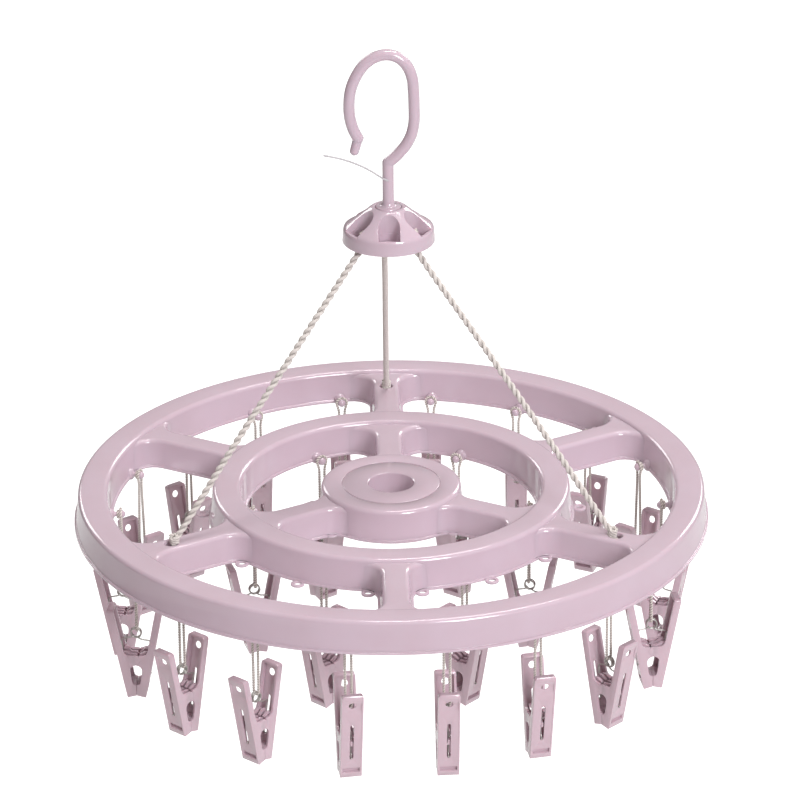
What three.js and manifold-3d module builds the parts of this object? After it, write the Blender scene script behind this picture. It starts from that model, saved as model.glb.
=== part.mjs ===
// Round clip drying hanger: a hook, a swivelling cap, three ropes, a round frame and 24 clips.
// Millimetres, +Z up. The origin is the point inside the top of the hook that bears on the rail,
// so the whole hanger hangs below it. +Y runs from the hook's axis towards the back spoke.
import * as THREE from "three";
import { mergeVertices } from "three/addons/utils/BufferGeometryUtils.js";
import Module from "manifold-3d";

const wasm = await Module();
wasm.setup();

// ---------------------------------------------------------------- driving dimensions
const HEIGHT = 246; // hook's bearing point to the top of the frame's rings
const DEPTH = 18.2; // height of the frame moulding
const STEP = 2; // how far the spokes lie below the rings
const ROUND = 2.6; // rounded upper edges of the frame
const LIP = 1.4; // thickness of the rim along the frame's lower edges
const LIP_OUT = 1.2; // how far that rim stands out of the wall
const DRAFT = 1.2; // lean of the frame's walls over their height
const WALL = 1.8; // wall thickness of the frame moulding

// Radii at the lower rims.
const OUTER = { inner: 153.8, outer: 175 };
const MIDDLE = { inner: 80.5, outer: 101 };
const DISC = { hole: 12.5, outer: 41 };
const SPOKE_HALF = 9.6;
const FILLET = 10;

const PEG = { level: -16.6, neck: 1.25, ball: 2.1, in: 5.4, cord: 3.8 };
const EYELET = { outer: 3.7, hole: 2, stand: 3, offset: 8, discOffset: 10.5 };
const ROPE_HOLE = { radius: 3.9, at: 138 };

const ROD = 3.05; // radius of the hook's rod
const TIP_ROD = 2.55; // radius of the hook's thinner end
const FLANGE = { radius: 7.3, top: -82.5, thick: 1.6 };
const STEM_END = -101;

const CAP = { top: -83, rim: -93.8, bottom: -102, crown: 8.4, upper: 24.4, lower: 24.9 };
const NICHE = { half: 6.2, back: 15, floor: -95.6, deck: 2 };
const GAP = 0.3;

const ROPE = { radius: 2.1, backRadius: 1.7, knot: 3.2, knotAt: 15.6, hole: 3.1 };

const CLIP = {
  height: 53,
  top: 15.4, // outer half-spread of the arms at the top
  tip: 5.2, // outer half-width at the jaw tips
  half: 5.8, // half the clip's width
  plate: 1.3, // thickness of the arm's plate and side walls
  flange: 3.9, // depth of an arm's side flanges
  web: 25.2, // height of the bottom of the V over the jaw tips
  block: 4.2, // half the thickness of the solid bridge beneath the V
  pivot: 22.6, // height of the bending web over the jaw tips
  knuckle: 2.5, // radius of that web
  cord: 47.5, // from the peg's axis down to the middle of the spring's coil
  coil: 37, // height of the coil over the jaw tips
};
// Each clip has turned a little on its cord: degrees of turn, one for each peg in order.
const OUTER_TURN = [-22, 30, 22, 30, 8, -5, -20, -12, -34, -5, -25, 7, -12, 19, -7, -18, -5, 28];
const MIDDLE_TURN = [-12, -8, 6, 15, -15, 18];
const OUTER_STEP = 20;
const MIDDLE_STEP = 60;

const OUTER_SPOKES = [30, 90, 150, 210, 270, 330];
const INNER_SPOKES = [90, 210, 330];
const ROPE_SPOKES = { rope_right: 330, rope_back: 90, rope_left: 210 };

// ---------------------------------------------------------------- materials
function finish(colour, roughness, metalness = 0) {
  return new THREE.MeshStandardMaterial({ color: colour, roughness, metalness });
}
const lilac = finish(0xd3b8cb, 0.35);
const lilacClip = finish(0xcfb2c3, 0.38);
const cream = finish(0xd9d2c4, 0.85);
const nylon = finish(0xe6e2e4, 0.4);

// ---------------------------------------------------------------- solids
const rad = THREE.MathUtils.degToRad;

function toSolid(geometry) {
  const g = geometry.clone();
  g.deleteAttribute("normal");
  g.deleteAttribute("uv");
  const merged = mergeVertices(g, 1e-4);
  return new wasm.Manifold(
    new wasm.Mesh({
      numProp: 3,
      vertProperties: new Float32Array(merged.attributes.position.array),
      triVerts: new Uint32Array(merged.index.array),
    }),
  );
}

function toMesh(name, solid, material) {
  const m = solid.getMesh();
  const n = m.numProp;
  const v = new Float32Array(m.numVert * 3);
  for (let i = 0; i < m.numVert; i++) v.set(m.vertProperties.subarray(i * n, i * n + 3), i * 3);
  const g = new THREE.BufferGeometry();
  g.setAttribute("position", new THREE.BufferAttribute(v, 3));
  g.setIndex(new THREE.BufferAttribute(new Uint32Array(m.triVerts), 1));
  g.computeVertexNormals();
  const mesh = new THREE.Mesh(g, material);
  mesh.name = name;
  return mesh;
}

function join(solids) {
  return solids.reduce((a, b) => a.add(b));
}

// A round body about Z from a closed outline of [radius, height] points, anticlockwise.
function turned(outline, segments) {
  const points = [...outline, outline[0]].map(([r, z]) => new THREE.Vector2(r, z));
  return toSolid(new THREE.LatheGeometry(points, segments).rotateX(Math.PI / 2));
}

function upright(radius, low, high, segments, x = 0, y = 0) {
  const g = new THREE.CylinderGeometry(radius, radius, high - low, segments);
  return toSolid(g.rotateX(Math.PI / 2).translate(x, y, (low + high) / 2));
}

function block(sizeX, sizeY, low, high) {
  return toSolid(new THREE.BoxGeometry(sizeX, sizeY, high - low).translate(0, 0, (low + high) / 2));
}

function spun(solid, degrees) {
  return solid.rotate([0, 0, degrees]);
}

// An upright prism from an outline of [x, y] points.
function prism(points, low, high) {
  const shape = new THREE.Shape(points.map(([x, y]) => new THREE.Vector2(x, y)));
  const g = new THREE.ExtrudeGeometry(shape, { depth: high - low, bevelEnabled: false });
  return toSolid(g.translate(0, 0, low));
}

// A tube along a curve with a round section.
function tube(curve, radius, sides, steps) {
  const section = new THREE.Shape();
  for (let i = 0; i < sides; i++) {
    const a = (2 * Math.PI * i) / sides;
    if (i === 0) section.moveTo(radius, 0);
    else section.lineTo(radius * Math.cos(a), radius * Math.sin(a));
  }
  return toSolid(new THREE.ExtrudeGeometry(section, { steps, extrudePath: curve, bevelEnabled: false }));
}

// ---------------------------------------------------------------- the frame
const LOW = -DEPTH;
const LIP_TOP = LOW + LIP;
const RING_SIDES = 54;
const DISC_SIDES = 30;

// The section of a ring: an upside-down channel between two radii, with leaning walls,
// rounded upper edges and a rim along each lower edge.
function channel(inner, outer) {
  const slope = LIP_OUT + DRAFT;
  const flat = slope + ROUND;
  return [
    [outer, LOW],
    [outer, LIP_TOP],
    [outer - LIP_OUT, LIP_TOP],
    [outer - slope, -ROUND],
    [outer - flat, 0],
    [inner + flat, 0],
    [inner + slope, -ROUND],
    [inner + LIP_OUT, LIP_TOP],
    [inner, LIP_TOP],
    [inner, LOW],
    [inner + LIP_OUT + WALL, LOW],
    [inner + slope + WALL, -WALL],
    [outer - slope - WALL, -WALL],
    [outer - LIP_OUT - WALL, LOW],
  ];
}

// The section of the hub disc, with a plain tube round its middle hole.
function discSection() {
  const slope = LIP_OUT + DRAFT;
  const { hole, outer } = DISC;
  return [
    [outer, LOW],
    [outer, LIP_TOP],
    [outer - LIP_OUT, LIP_TOP],
    [outer - slope, -ROUND],
    [outer - slope - ROUND, 0],
    [hole + 0.8, 0],
    [hole, -0.8],
    [hole, LOW],
    [hole + WALL, LOW],
    [hole + WALL, -WALL],
    [outer - slope - WALL, -WALL],
    [outer - LIP_OUT - WALL, LOW],
  ];
}

// The plan of one spoke along +X between the ring wall at radius `a` and the one at radius `b`,
// drawn in by `inset` all round. Rounded corners run it into both rings.
function spokePlan(a, b, inset) {
  const corners = 2;
  const half = SPOKE_HALF - inset;
  const fillet = FILLET + inset;
  const y = SPOKE_HALF + FILLET;
  const arc = (reach, from, to) => {
    const x = Math.sqrt(reach * reach - y * y);
    return Array.from({ length: corners + 1 }, (_, i) => {
      const t = from + ((to - from) * i) / corners;
      return [x + fillet * Math.cos(t), y + fillet * Math.sin(t)];
    });
  };
  const near = Math.asin(y / (a + FILLET));
  const far = Math.asin(y / (b - FILLET));
  const polar = (radius, t) => [radius * Math.cos(t), radius * Math.sin(t)];
  const upper = [
    polar(a - 6, near),
    ...arc(a + FILLET, near + Math.PI, 1.5 * Math.PI),
    ...arc(b - FILLET, 1.5 * Math.PI, 2 * Math.PI + far),
    polar(b + 6, far),
  ];
  return [...upper.map(([x, y]) => [x, -y]), ...upper.reverse()];
}

// A solid whose outline changes from level to level, all outlines having as many points.
function lofted(levels) {
  const count = levels[0].points.length;
  const position = [];
  const index = [];
  for (const { z, points } of levels) for (const [x, y] of points) position.push(x, y, z);
  for (let l = 0; l + 1 < levels.length; l++) {
    for (let i = 0; i < count; i++) {
      const j = (i + 1) % count;
      const [p, q] = [l * count + i, l * count + j];
      index.push(p, q, q + count, p, q + count, p + count);
    }
  }
  const cap = (level, flip) => {
    const outline = levels[level].points.map(([x, y]) => new THREE.Vector2(x, y));
    for (const [i, j, k] of THREE.ShapeUtils.triangulateShape(outline, [])) {
      const face = [i, j, k].map((v) => v + level * count);
      index.push(...(flip ? face.reverse() : face));
    }
  };
  cap(0, true);
  cap(levels.length - 1, false);
  const g = new THREE.BufferGeometry();
  g.setAttribute("position", new THREE.BufferAttribute(new Float32Array(position), 3));
  g.setIndex(index);
  return toSolid(g);
}

// All the spokes between two walls, hollow beneath, their ends trimmed inside those walls.
function spokes(a, b, angles) {
  const slope = LIP_OUT + DRAFT;
  const level = (z, inset) => ({ z, points: spokePlan(a, b, inset) });
  const bar = lofted([
    level(LOW, 0),
    level(LIP_TOP, 0),
    level(LIP_TOP + 0.01, LIP_OUT),
    level(-STEP - ROUND, slope),
    level(-STEP, slope + ROUND),
  ]);
  const width = 2 * (SPOKE_HALF - slope - WALL);
  const pocket = block(b - a - 2, width, LOW - 1, -STEP - WALL).translate([(a + b) / 2, 0, 0]);
  const one = bar.subtract(pocket);
  const low = LIP_OUT + WALL / 2;
  const high = slope + WALL / 2;
  const trim = turned([[a - low, LOW - 1], [b + low, LOW - 1], [b + high, 0], [a - high, 0]], RING_SIDES);
  return join(angles.map((angle) => spun(one, angle))).intersect(trim);
}

function peg(wallRadius, angle) {
  const reach = PEG.in + LIP_OUT + 1;
  const neck = new THREE.CylinderGeometry(PEG.neck, PEG.neck, reach, 5);
  const ball = new THREE.SphereGeometry(PEG.ball, 6, 3);
  const end = wallRadius - PEG.in;
  const pin = toSolid(neck.rotateZ(Math.PI / 2).translate(end + reach / 2, 0, PEG.level));
  return spun(pin.add(toSolid(ball.translate(end, 0, PEG.level))), angle);
}

function eyelet(radius, angle) {
  const ring = upright(EYELET.outer, LOW, LIP_TOP, 7, radius + EYELET.stand);
  const hole = upright(EYELET.hole, LOW - 1, LIP_TOP + 1, 5, radius + EYELET.stand);
  return { ring: spun(ring, angle), hole: spun(hole, angle) };
}

const outerPegs = Array.from({ length: 360 / OUTER_STEP }, (_, i) => i * OUTER_STEP);
const middlePegs = Array.from({ length: 360 / MIDDLE_STEP }, (_, i) => i * MIDDLE_STEP);

function frame() {
  const ears = [];
  for (const angle of OUTER_SPOKES) {
    for (const offset of [EYELET.offset, 30, 60 - EYELET.offset]) {
      ears.push(eyelet(MIDDLE.outer, angle + offset));
    }
  }
  for (const angle of INNER_SPOKES) {
    for (const offset of [EYELET.discOffset, 120 - EYELET.discOffset]) {
      ears.push(eyelet(DISC.outer, angle + offset));
    }
  }
  let body = join([
    turned(channel(OUTER.inner, OUTER.outer), RING_SIDES),
    turned(channel(MIDDLE.inner, MIDDLE.outer), RING_SIDES),
    turned(discSection(), DISC_SIDES),
    spokes(MIDDLE.outer, OUTER.inner, OUTER_SPOKES),
    spokes(DISC.outer, MIDDLE.inner, INNER_SPOKES),
    ...outerPegs.map((angle) => peg(OUTER.inner, angle)),
    ...middlePegs.map((angle) => peg(MIDDLE.inner, angle)),
    ...ears.map((ear) => ear.ring),
  ]);
  for (const ear of ears) body = body.subtract(ear.hole);
  for (const angle of Object.values(ROPE_SPOKES)) {
    body = body.subtract(spun(upright(ROPE_HOLE.radius, -STEP - WALL - 2, 1, 10, ROPE_HOLE.at), angle));
  }
  return body.translate([0, 0, -HEIGHT]);
}

// ---------------------------------------------------------------- hook, cap and retainer
// The middle line of the hook, in its own X-Z plane, from the stem's elbow round to the tip.
const HOOK_LINE = [
  [0, -57.6],
  [2.8, -55],
  [5.9, -52.4],
  [9.7, -48],
  [12.6, -42.2],
  [14.1, -35],
  [14.2, -26],
  [13.9, -17],
  [13.3, -10.5],
  [10.6, -3.4],
  [6, 1.3],
  [0, 3.05],
  [-6.1, 1.8],
  [-11.6, -1.9],
  [-16, -8],
  [-19.2, -15.6],
  [-20.4, -23.7],
  [-20.1, -31.8],
  [-18.3, -38.8],
  [-15.7, -44.2],
];
const HOOK_NOSE = [-17.8, -50.8];

function curveXZ(points) {
  return new THREE.CatmullRomCurve3(points.map(([x, z]) => new THREE.Vector3(x, 0, z)), false, "centripetal");
}

function ball(radius, x, z) {
  return toSolid(new THREE.SphereGeometry(radius, 8, 5).translate(x, 0, z));
}

function hook() {
  const sides = 8;
  const tip = HOOK_LINE[HOOK_LINE.length - 1];
  const stem = upright(ROD, STEM_END, HOOK_LINE[0][1], sides);
  const groove = upright(ROD + 1, STEM_END + 1.5, STEM_END + 2.9, sides);
  const core = upright(ROD - 0.7, STEM_END + 1.5, STEM_END + 2.9, sides);
  const parts = [
    tube(curveXZ(HOOK_LINE), ROD, sides, 28),
    ball(ROD, ...HOOK_LINE[0]),
    ball(ROD, ...tip),
    tube(curveXZ([tip, HOOK_NOSE]), TIP_ROD, sides, 1),
    ball(TIP_ROD, ...HOOK_NOSE),
    stem.subtract(groove).add(core),
    upright(FLANGE.radius, FLANGE.top - FLANGE.thick, FLANGE.top, 18),
  ];
  return join(parts);
}

// A split snap ring in the groove of the stem, which keeps the cap on.
function stemRetainer() {
  const low = STEM_END + 1.8;
  const ring = upright(5.2, low, low + 0.8, 16);
  const bore = upright(ROD - 0.7 + GAP, low - 1, low + 2, 10);
  const slit = block(8, 2.4, low - 1, low + 2).translate([4, 0, 0]);
  return ring.subtract(bore).subtract(slit);
}

// A thin nylon thread left by the price tag, stuck out of the stem.
function tagPin() {
  const line = [
    [-3.4, -65.7],
    [-8, -63.6],
    [-13.4, -61.5],
    [-25.2, -56.9],
    [-34.7, -53.6],
  ];
  return tube(curveXZ(line), 0.45, 6, 8);
}

function cap() {
  const seat = FLANGE.top - FLANGE.thick - GAP;
  const deckLow = NICHE.floor - NICHE.deck;
  const outline = [
    [ROD + GAP, deckLow],
    [CAP.lower - 2.2, deckLow],
    [CAP.lower - 1.8, CAP.bottom],
    [CAP.lower, CAP.bottom],
    [CAP.upper, CAP.rim],
    [CAP.upper - 0.7, CAP.rim + 0.7],
    [CAP.crown + 0.7, CAP.top],
    [FLANGE.radius + GAP, CAP.top - 0.2],
    [FLANGE.radius + GAP, seat],
    [ROD + GAP, seat],
  ];
  let body = turned(outline, 36);
  const arc = 4;
  const slot = [[CAP.lower + 2, -NICHE.half], [CAP.lower + 2, NICHE.half]];
  for (let i = 0; i <= arc; i++) {
    const t = Math.PI / 2 + (Math.PI * i) / arc;
    slot.push([NICHE.back + NICHE.half * Math.cos(t), NICHE.half * Math.sin(t)]);
  }
  for (const angle of OUTER_SPOKES) {
    const upper = prism(slot, CAP.rim, CAP.top + 2);
    const lower = prism(slot.map(([x, y]) => [Math.min(x, CAP.upper - 1.6), y * 0.98]), NICHE.floor, CAP.rim + 1);
    body = body.subtract(spun(upper.add(lower), angle));
  }
  for (const angle of Object.values(ROPE_SPOKES)) {
    body = body.subtract(spun(upright(ROPE.hole, deckLow - 1, NICHE.floor + 1, 8, ROPE.knotAt + 0.4), angle));
  }
  return body;
}

// ---------------------------------------------------------------- ropes
// Each rope runs from a knot in its niche, down through the cap's deck and straight to a knot
// under its spoke.
function ropePoints(angle) {
  const at = (radius, z) => {
    const t = rad(angle);
    return new THREE.Vector3(radius * Math.cos(t), radius * Math.sin(t), z);
  };
  return [
    at(ROPE.knotAt, NICHE.floor + 3),
    at(ROPE.knotAt + 0.2, NICHE.floor - 1),
    at(ROPE.knotAt + 1, NICHE.floor - 4),
    at(20.5, -105),
    at(60, -153.2),
    at(100, -202),
    at(ROPE_HOLE.at - 2.4, -HEIGHT + 2),
    at(ROPE_HOLE.at - 0.1, -HEIGHT - STEP + 0.8),
    at(ROPE_HOLE.at, -HEIGHT - 7),
  ];
}

function rope(angle, radius) {
  const points = ropePoints(angle);
  const line = tube(new THREE.CatmullRomCurve3(points, false, "centripetal"), radius, 8, 20);
  const knot = (p) => toSolid(new THREE.SphereGeometry(ROPE.knot, 8, 5).translate(p.x, p.y, p.z));
  const upper = points[0].clone().setZ(NICHE.floor + ROPE.knot + GAP);
  const lower = points[points.length - 1].clone().setZ(-HEIGHT - STEP - WALL - ROPE.knot - GAP);
  return join([line, knot(upper), knot(lower)]);
}

// ---------------------------------------------------------------- clips
// One jaw in the clip's own frame: X outwards along the arm's side, Z up from the jaw tips.
// The outer jaw holds the round web that both jaws bend about; the inner jaw is cut around it.
function leanX(z) {
  return CLIP.tip + ((CLIP.top - CLIP.tip) * z) / CLIP.height;
}

function acrossY(points, half) {
  // The outline is drawn in X-Z, so the prism is made upright and laid down along Y.
  return prism(points.map(([x, z]) => [x, -z]), -half, half).rotate([-90, 0, 0]);
}

function jaw(holdsWeb) {
  const { height, web, block, pivot, knuckle, half, plate, flange } = CLIP;
  const middle = GAP / 2;
  const side = [
    [middle, 0],
    [leanX(0), 0],
    [leanX(height), height],
    [leanX(height) - flange, height],
    [leanX(web) - flange, web],
    [middle, web],
    [middle, 19.4],
    [3, 15.6],
    [middle, 7.4],
  ];
  const inside = [
    [1.6, 1.3],
    [leanX(1.3) - plate, 1.3],
    [leanX(height + 1) - plate, height + 1],
    [-2, height + 1],
    [-2, web],
    [block, web],
    [block, 19],
    [-2, 19],
    [-2, 8],
    [1.6, 8],
  ];
  let body = acrossY(side, half);
  if (holdsWeb) {
    const round = new THREE.CylinderGeometry(knuckle, knuckle, 2 * half, 8);
    body = body.add(toSolid(round.translate(0, 0, 0)).translate([0, 0, pivot]));
  } else {
    const socket = new THREE.CylinderGeometry(knuckle + GAP, knuckle + GAP, 2 * half + 2, 8);
    body = body.subtract(toSolid(socket).translate([0, 0, pivot]));
  }
  body = body.subtract(acrossY(inside, half - plate));
  const lean = Math.atan2(CLIP.top - CLIP.tip, height);
  const through = (solid, z) => solid.rotate([0, (lean * 180) / Math.PI, 0]).translate([leanX(z), 0, z]);
  const finger = new THREE.CylinderGeometry(2, 2, 8, 6).rotateZ(Math.PI / 2);
  body = body.subtract(through(toSolid(finger), 46.6));
  const slot = toSolid(new THREE.BoxGeometry(6, 2, 22.6));
  body = body.subtract(through(slot, 22.9));
  return body;
}

const outerJaw = jaw(true);
const innerJaw = jaw(false).scale([-1, 1, 1]);

// A clip on its peg: turned on its cord, then carried out to the peg.
function clip(name, pegRadius, angle, turn) {
  const group = new THREE.Group();
  group.add(toMesh(name + "_outer_jaw", outerJaw, lilacClip));
  group.add(toMesh(name + "_inner_jaw", innerJaw, lilacClip));
  group.rotation.z = rad(angle + turn);
  const z = -HEIGHT + PEG.level - CLIP.cord - CLIP.coil;
  group.position.set(pegRadius * Math.cos(rad(angle)), pegRadius * Math.sin(rad(angle)), z);
  return group;
}

// ---------------------------------------------------------------- the assembly
const hanger = new THREE.Group();
hanger.add(toMesh("hook", hook(), lilac));
hanger.add(toMesh("tag_pin", tagPin(), nylon));
hanger.add(toMesh("cap", cap(), lilac));
hanger.add(toMesh("stem_retainer", stemRetainer(), nylon));
for (const [name, angle] of Object.entries(ROPE_SPOKES)) {
  const radius = name === "rope_back" ? ROPE.backRadius : ROPE.radius;
  hanger.add(toMesh(name, rope(angle, radius), cream));
}
hanger.add(toMesh("frame", frame(), lilac));

const clips = [
  ...outerPegs.map((angle, i) => [OUTER.inner - PEG.cord, angle, OUTER_TURN[i]]),
  ...middlePegs.map((angle, i) => [MIDDLE.inner - PEG.cord, angle, MIDDLE_TURN[i]]),
];
clips.forEach(([radius, angle, turn], i) => {
  hanger.add(clip("clip_" + String(i + 1).padStart(2, "0"), radius, angle, turn));
});

export default hanger;
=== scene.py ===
"""Looks for the round clip drying hanger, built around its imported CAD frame.

Lengths below are in millimetres in the CAD frame and become metres when a mesh is made.
The origin is the point inside the top of the hook that bears on the rail, with +Z up.
"""
import math

import bmesh
import bpy
import numpy as np
from mathutils import Matrix, Quaternion, Vector


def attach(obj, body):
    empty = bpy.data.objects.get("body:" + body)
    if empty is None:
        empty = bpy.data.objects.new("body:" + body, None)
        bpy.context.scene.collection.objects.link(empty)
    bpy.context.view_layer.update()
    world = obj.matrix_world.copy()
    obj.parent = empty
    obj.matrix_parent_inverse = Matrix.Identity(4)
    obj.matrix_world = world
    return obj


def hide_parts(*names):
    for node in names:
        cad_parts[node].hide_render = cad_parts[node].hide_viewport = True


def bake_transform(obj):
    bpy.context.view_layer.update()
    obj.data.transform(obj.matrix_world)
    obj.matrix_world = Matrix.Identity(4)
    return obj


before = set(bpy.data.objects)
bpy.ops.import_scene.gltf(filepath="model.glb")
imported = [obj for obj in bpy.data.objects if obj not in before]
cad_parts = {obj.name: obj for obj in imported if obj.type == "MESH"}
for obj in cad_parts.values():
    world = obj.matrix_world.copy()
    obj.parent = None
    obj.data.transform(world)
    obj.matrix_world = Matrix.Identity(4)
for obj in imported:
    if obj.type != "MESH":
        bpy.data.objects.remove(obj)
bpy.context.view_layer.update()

MM = 0.001
HEIGHT = 246.0  # bearing point of the hook to the top of the frame's rings
DEPTH = 18.2  # height of the frame moulding
STEP = 2.0  # how far the spokes lie below the rings
PEG_DROP = 16.6  # top of the rings to the pegs' axes
SPOKE_ANGLES = (30, 90, 150, 210, 270, 330)  # long spokes, and niches in the cap
ROPE_ANGLES = (90, 210, 330)  # spokes and niches that hold a rope, and short spokes


def linked(name, data):
    """A new object in the scene."""
    piece = bpy.data.objects.new(name, data)
    bpy.context.scene.collection.objects.link(piece)
    return piece


# ------------------------------------------------------------------ camera
EYE_FROM_HUB = (-36.8, -2269.95, 1046.87)
PITCH, YAW, ROLL = 1.0377, -0.1126, -0.569  # degrees, added to the look at the hub
SENSOR_WIDTH, LENS = 36, 204.0
VIEW_END = 30  # metres


def make_camera():
    """A long lens above the front, aimed a little over the hub, and turned half a degree."""
    hub = Vector((0, 0, -HEIGHT)) * MM
    eye = hub + Vector(EYE_FROM_HUB) * MM
    look = (hub - eye).to_track_quat("-Z", "Y")
    pitch = Quaternion((1, 0, 0), math.radians(PITCH))
    yaw = Quaternion((0, 1, 0), math.radians(YAW))
    roll = Quaternion((0, 0, 1), math.radians(ROLL))
    data = bpy.data.cameras.new("camera")
    data.sensor_width, data.lens, data.clip_end = SENSOR_WIDTH, LENS, VIEW_END
    camera = linked("camera", data)
    camera.rotation_mode = "QUATERNION"
    camera.rotation_quaternion = look @ roll @ pitch @ yaw
    camera.location = eye
    bpy.context.scene.camera = camera


make_camera()


# ------------------------------------------------------------------ mesh building
class Shape:
    """Points and faces gathered from several shells, in millimetres."""

    def __init__(self):
        self.points, self.faces, self.tone = [], [], []

    def add(self, points, faces, matrix=None, tone=None):
        base = len(self.points)
        points = np.asarray(points, float)
        if matrix is not None:
            m = np.array(matrix, float)
            points = points @ m[:3, :3].T + m[:3, 3]
        self.points.extend(points.tolist())
        self.faces.extend([tuple(i + base for i in f) for f in faces])
        # A value per point of painted shade for yarn where its strands meet, 0 for everything else.
        self.tone.extend([0.0] * len(points) if tone is None else list(tone))
        return self

    def mesh(self, name, material, sharp=32.0, with_painted_groove_shade=False):
        data = bpy.data.meshes.new(name)
        data.from_pydata([[c * MM for c in p] for p in self.points], [], self.faces)
        # The points' painted shade goes on the mesh as an attribute that the yarn material reads.
        if with_painted_groove_shade:
            attribute = data.attributes.new("tone", "FLOAT", "POINT")
            attribute.data.foreach_set("value", np.array(self.tone, np.float32))
        smooth(data, sharp)
        data.materials.append(material)
        return data


def smooth(data, sharp):
    """Shades a mesh smooth, except over edges sharper than so many degrees."""
    data.validate()
    data.shade_smooth()
    data.set_sharp_from_angle(angle=math.radians(sharp))


def place(name, data, body, replaces=(), matrix=None):
    """Links an object, makes it ride on a CAD body and hides the CAD nodes it stands for."""
    piece = linked(name, data)
    if matrix is not None:
        piece.matrix_world = matrix
    if body:
        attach(piece, body)
    if replaces:
        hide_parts(*replaces)
    return piece


def baked(piece):
    """Replaces a piece's mesh by what its modifiers make of it."""
    bpy.context.view_layer.update()
    graph = bpy.context.evaluated_depsgraph_get()
    piece.data = bpy.data.meshes.new_from_object(piece.evaluated_get(graph))
    piece.modifiers.clear()


def cut(piece, cutter_data):
    """Takes the cutters' shapes out of a piece for good."""
    tools = []
    for data in cutter_data:
        tool = linked("cutter", data)
        tools.append(tool)
        m = piece.modifiers.new("cut", "BOOLEAN")
        m.object = tool
        m.solver = "EXACT"
    baked(piece)
    for tool in tools:
        bpy.data.objects.remove(tool)


def bevel(piece, width, segments, angle):
    """Rounds a piece's edges for good, where they are sharper than angle."""
    edge = piece.modifiers.new("edge", "BEVEL")
    edge.width, edge.segments = width * MM, segments
    edge.limit_method, edge.angle_limit = "ANGLE", math.radians(angle)
    baked(piece)


def outward(data):
    """Turns a closed mesh's faces outwards."""
    shell = bmesh.new()
    shell.from_mesh(data)
    bmesh.ops.recalc_face_normals(shell, faces=shell.faces)
    shell.to_mesh(data)
    shell.free()
    return data


def mirrored(data):
    """A copy facing the other way along X."""
    new = data.copy()
    new.transform(Matrix.Scale(-1, 4, (1, 0, 0)))
    new.flip_normals()
    return new


def grid_faces(rows, columns, wrap_rows=False, wrap_columns=True):
    """The quads between rows of points, which may close up on themselves either way."""
    faces = []
    for i in range(rows if wrap_rows else rows - 1):
        k = (i + 1) % rows
        for j in range(columns if wrap_columns else columns - 1):
            n = (j + 1) % columns
            faces.append((i * columns + j, k * columns + j, k * columns + n, i * columns + n))
    return faces


def capped_faces(rows, columns):
    """The faces of a row of rings, with both ends closed."""
    faces = [f[::-1] for f in grid_faces(rows, columns)]
    faces.append(tuple(range(columns))[::-1])
    faces.append(tuple((rows - 1) * columns + i for i in range(columns)))
    return faces


def turned(profile, segments, closed=True):
    """A round body about Z from [radius, height] points, anticlockwise when seen with Z up."""
    profile = np.asarray(profile, float)
    a = np.linspace(0, 2 * math.pi, segments, endpoint=False)
    points = np.stack(
        [np.outer(np.cos(a), profile[:, 0]), np.outer(np.sin(a), profile[:, 0]),
         np.tile(profile[:, 1], (segments, 1))], axis=2).reshape(-1, 3)
    return points, grid_faces(segments, len(profile), True, closed)


def arc(cx, cy, r, start, end, steps):
    """Points of an arc, angles in degrees."""
    t = np.radians(np.linspace(start, end, steps + 1))
    return [(cx + r * math.cos(x), cy + r * math.sin(x)) for x in t]


def loft(levels):
    """A closed body through outlines with equal numbers of points, capped at both ends."""
    points = np.concatenate([np.asarray(level, float) for level in levels])
    return points, capped_faces(len(levels), len(levels[0]))


def prism(outline, low, high):
    """A prism along Z from an outline in X-Y."""
    n = len(outline)
    points = [(x, y, low) for x, y in outline] + [(x, y, high) for x, y in outline]
    faces = [tuple(range(n))[::-1], tuple(range(n, 2 * n))]
    faces += [(i, (i + 1) % n, (i + 1) % n + n, i + n) for i in range(n)]
    return points, faces


def slab(outline, low, high):
    """A prism along Y from an outline in X-Z."""
    n = len(outline)
    points = [(x, low, z) for x, z in outline] + [(x, high, z) for x, z in outline]
    faces = [tuple(range(n)), tuple(range(n, 2 * n))[::-1]]
    faces += [(i + n, (i + 1) % n + n, (i + 1) % n, i) for i in range(n)]
    return points, faces


def spin(angle):
    """A turn about Z, in degrees."""
    return Matrix.Rotation(math.radians(angle), 4, "Z")


def frames_along(path):
    """Tangents and two steady normals along a line of points."""
    path = np.asarray(path, float)
    tangent = np.gradient(path, axis=0)
    tangent /= np.linalg.norm(tangent, axis=1)[:, None]
    first = np.array((0.0, 0.0, 1.0))
    if abs(first @ tangent[0]) > 0.9:
        first = np.array((0.0, 1.0, 0.0))
    normal = np.zeros_like(path)
    n = first - (first @ tangent[0]) * tangent[0]
    for i, t in enumerate(tangent):
        n = n - (n @ t) * t
        n /= np.linalg.norm(n)
        normal[i] = n
    return path, tangent, normal, np.cross(tangent, normal)


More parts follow.
